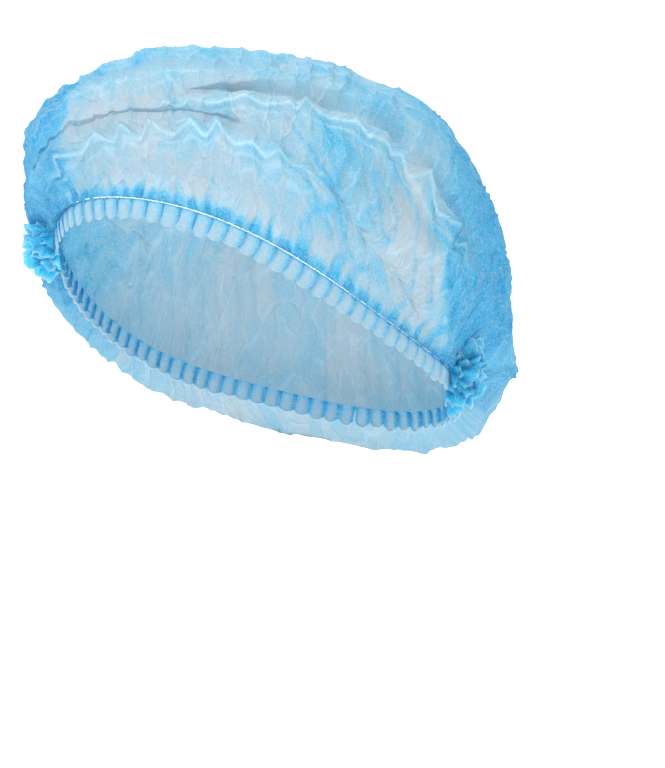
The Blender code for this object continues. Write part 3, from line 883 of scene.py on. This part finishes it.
for name, end_deg, to_brow, seed in (
    ("right_bunch", RIGHT_END_DEG, 1.0, 61),
    ("left_bunch", LEFT_END_DEG, -1.0, 62),
):
    angle = np.array(math.radians(end_deg))
    middle, outward = opening_point(angle), opening_outward(angle)
    forward, down = opening_forward(angle) * to_brow, opening_down(angle)
    points, faces, gathers, painted_highlights = [], [], [], []
    turns = np.linspace(math.radians(-LAYER_SPREAD_DEG), math.radians(LAYER_SPREAD_DEG), LAYER_COLUMNS)
    ups = np.linspace(0.0, 1.0, LAYER_ROWS)
    for ring, (before, reach, half_height, folds) in enumerate(LAYERS):
        random = np.random.default_rng(seed + 10 * ring)
        bend = folds * turns / math.pi + random.uniform(0.0, 2.0)
        bend = bend + 0.70 * rolling(turns * 1.6, 0.0 * turns + ring, seed)
        fold = np.sin(2.0 * math.pi * bend)
        ragged = 1.0 + 0.26 * rolling(turns * 1.9, 0.0 * turns + 9.0 + ring, seed)
        ragged = ragged + 0.10 * rolling(turns * 9.0, 0.0 * turns + 3.0 + ring, seed) + 0.04 * fold
        base = len(points)
        for k, turn in enumerate(turns):
            for j, rise in enumerate(ups):
                crumple = float(rolling(np.array(turn * 4.0), np.array(rise * 3.0 + 5.0 * ring), seed))
                finer = float(rolling(np.array(turn * 11.0), np.array(rise * 8.0 + ring), seed))
                crumple = crumple + 0.6 * finer
                off = 0.0006 + reach * ragged[k] * rise * max(math.cos(turn), -0.05)
                drop = half_height * ragged[k] * rise * math.sin(turn)
                ahead = before + FOLD_DEPTH * fold[k] * min(rise * 1.6, 1.0) + CRUMPLE * crumple * rise
                points.append(tuple(middle + outward * off + down * drop + forward * ahead))
                gathers.append(0.92 - 0.45 * rise**3 + 0.10 * fold[k] + 0.16 * crumple)
                # painted highlight along each ruffle's rim
                painted_highlights.append(0.55 * math.exp(-(((rise - 1.0) / 0.05) ** 2)))
        for k in range(len(turns) - 1):
            for j in range(len(ups) - 1):
                a = base + k * len(ups) + j
                faces.append((a, a + 1, a + len(ups) + 1, a + len(ups)))
    mesh = bpy.data.meshes.new(name)
    mesh.from_pydata(points, [], faces)
    mesh.shade_smooth()
    for attribute, values in (("gather", gathers), ("edge", painted_highlights)):
        layer = mesh.attributes.new(attribute, "FLOAT", "POINT")
        layer.data.foreach_set("value", np.clip(values, 0.0, 1.0))
    mesh.materials.append(bunch_look)
    bunch = bpy.data.objects.new(name, mesh)
    bpy.context.scene.collection.objects.link(bunch)
    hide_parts(name.replace("bunch", "end_gather"))
    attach(bunch, "root")


# The photographer's floor, backdrop, light and camera.
# A seamless pale sweep well below and behind the cap, soft light from the upper left, and a long lens.

FLOOR_DROP = 0.36
FLOOR_NEAR_END = -3.0
BEND_START = 1.2
BEND_RADIUS = 0.8
BACKDROP_HEIGHT = 3.2
SWEEP_HALF_WIDTH = 3.5
sweep_section = [(FLOOR_NEAR_END, 0.0), (BEND_START, 0.0)]
for bend in np.linspace(0.15, 1.5, 12):
    height = BEND_RADIUS - BEND_RADIUS * math.cos(bend)
    sweep_section.append((BEND_START + BEND_RADIUS * math.sin(bend), height))
sweep_section.append((BEND_START + BEND_RADIUS, BACKDROP_HEIGHT))
VIEW_DEG = 40.0
view = Vector((-math.sin(math.radians(VIEW_DEG)), math.cos(math.radians(VIEW_DEG)), 0.0))
right = Vector((math.cos(math.radians(VIEW_DEG)), math.sin(math.radians(VIEW_DEG)), 0.0))
points = []
for distance, height in sweep_section:
    for side in (-SWEEP_HALF_WIDTH, SWEEP_HALF_WIDTH):
        points.append(view * distance + right * side + Vector((0.0, 0.0, height - FLOOR_DROP)))
faces = [(2 * k, 2 * k + 1, 2 * k + 3, 2 * k + 2) for k in range(len(sweep_section) - 1)]
sweep_mesh = bpy.data.meshes.new("pale_sweep")
sweep_mesh.from_pydata([tuple(p) for p in points], [], faces)
sweep_mesh.shade_smooth()
sweep_look = bpy.data.materials.new("pale_paper")
sweep_look.use_nodes = True
sweep_surface = sweep_look.node_tree.nodes["Principled BSDF"]
sweep_surface.inputs["Base Color"].default_value = (0.93, 0.935, 0.94, 1.0)
sweep_surface.inputs["Roughness"].default_value = 0.9
sweep_surface.inputs["Emission Color"].default_value = (1.0, 1.0, 1.0, 1.0)
sweep_surface.inputs["Emission Strength"].default_value = 0.55
sweep_mesh.materials.append(sweep_look)
sweep = bpy.data.objects.new("pale_sweep", sweep_mesh)
bpy.context.scene.collection.objects.link(sweep)

world = bpy.data.worlds.new("soft_room")
bpy.context.scene.world = world
world.use_nodes = True
world.node_tree.nodes["Background"].inputs["Color"].default_value = (1.0, 1.0, 0.985, 1.0)
world.node_tree.nodes["Background"].inputs["Strength"].default_value = 0.45

LIGHTS = (
    # name, place as (right, towards camera, up), size, power
    ("key_softbox", (-0.75, 0.95, 0.95), 0.5, 16.0),
    ("fill_softbox", (1.2, 0.9, 0.15), 1.0, 5.5),
    ("top_softbox", (0.1, -0.2, 1.3), 0.9, 5.0),
)
middle = Vector((0.0, 0.0, 0.03))
for name, (across_view, nearer, up), size, power in LIGHTS:
    lamp = bpy.data.lights.new(name, "AREA")
    lamp.size = size
    lamp.energy = power
    stand = bpy.data.objects.new(name, lamp)
    stand.location = middle + right * across_view - view * nearer + Vector((0.0, 0.0, up))
    stand.rotation_euler = (middle - stand.location).to_track_quat("-Z", "Y").to_euler()
    bpy.context.scene.collection.objects.link(stand)

bpy.context.scene.view_settings.view_transform = "Standard"

PIXELS_PER_METRE = 2350.0
PICTURE_HEIGHT = 768.0
CAMERA_DISTANCE = 1.5
SENSOR = 36.0
AIM_RIGHT = 0.030
AIM_UP = -0.0316
aim = right * AIM_RIGHT + Vector((0.0, 0.0, AIM_UP))
camera_data = bpy.data.cameras.new("camera")
camera_data.sensor_width = SENSOR
camera_data.lens = SENSOR * CAMERA_DISTANCE * PIXELS_PER_METRE / PICTURE_HEIGHT
camera = bpy.data.objects.new("camera", camera_data)
camera.location = aim - view * CAMERA_DISTANCE
camera.rotation_euler = (aim - camera.location).to_track_quat("-Z", "Y").to_euler()
bpy.context.scene.collection.objects.link(camera)
bpy.context.scene.camera = camera
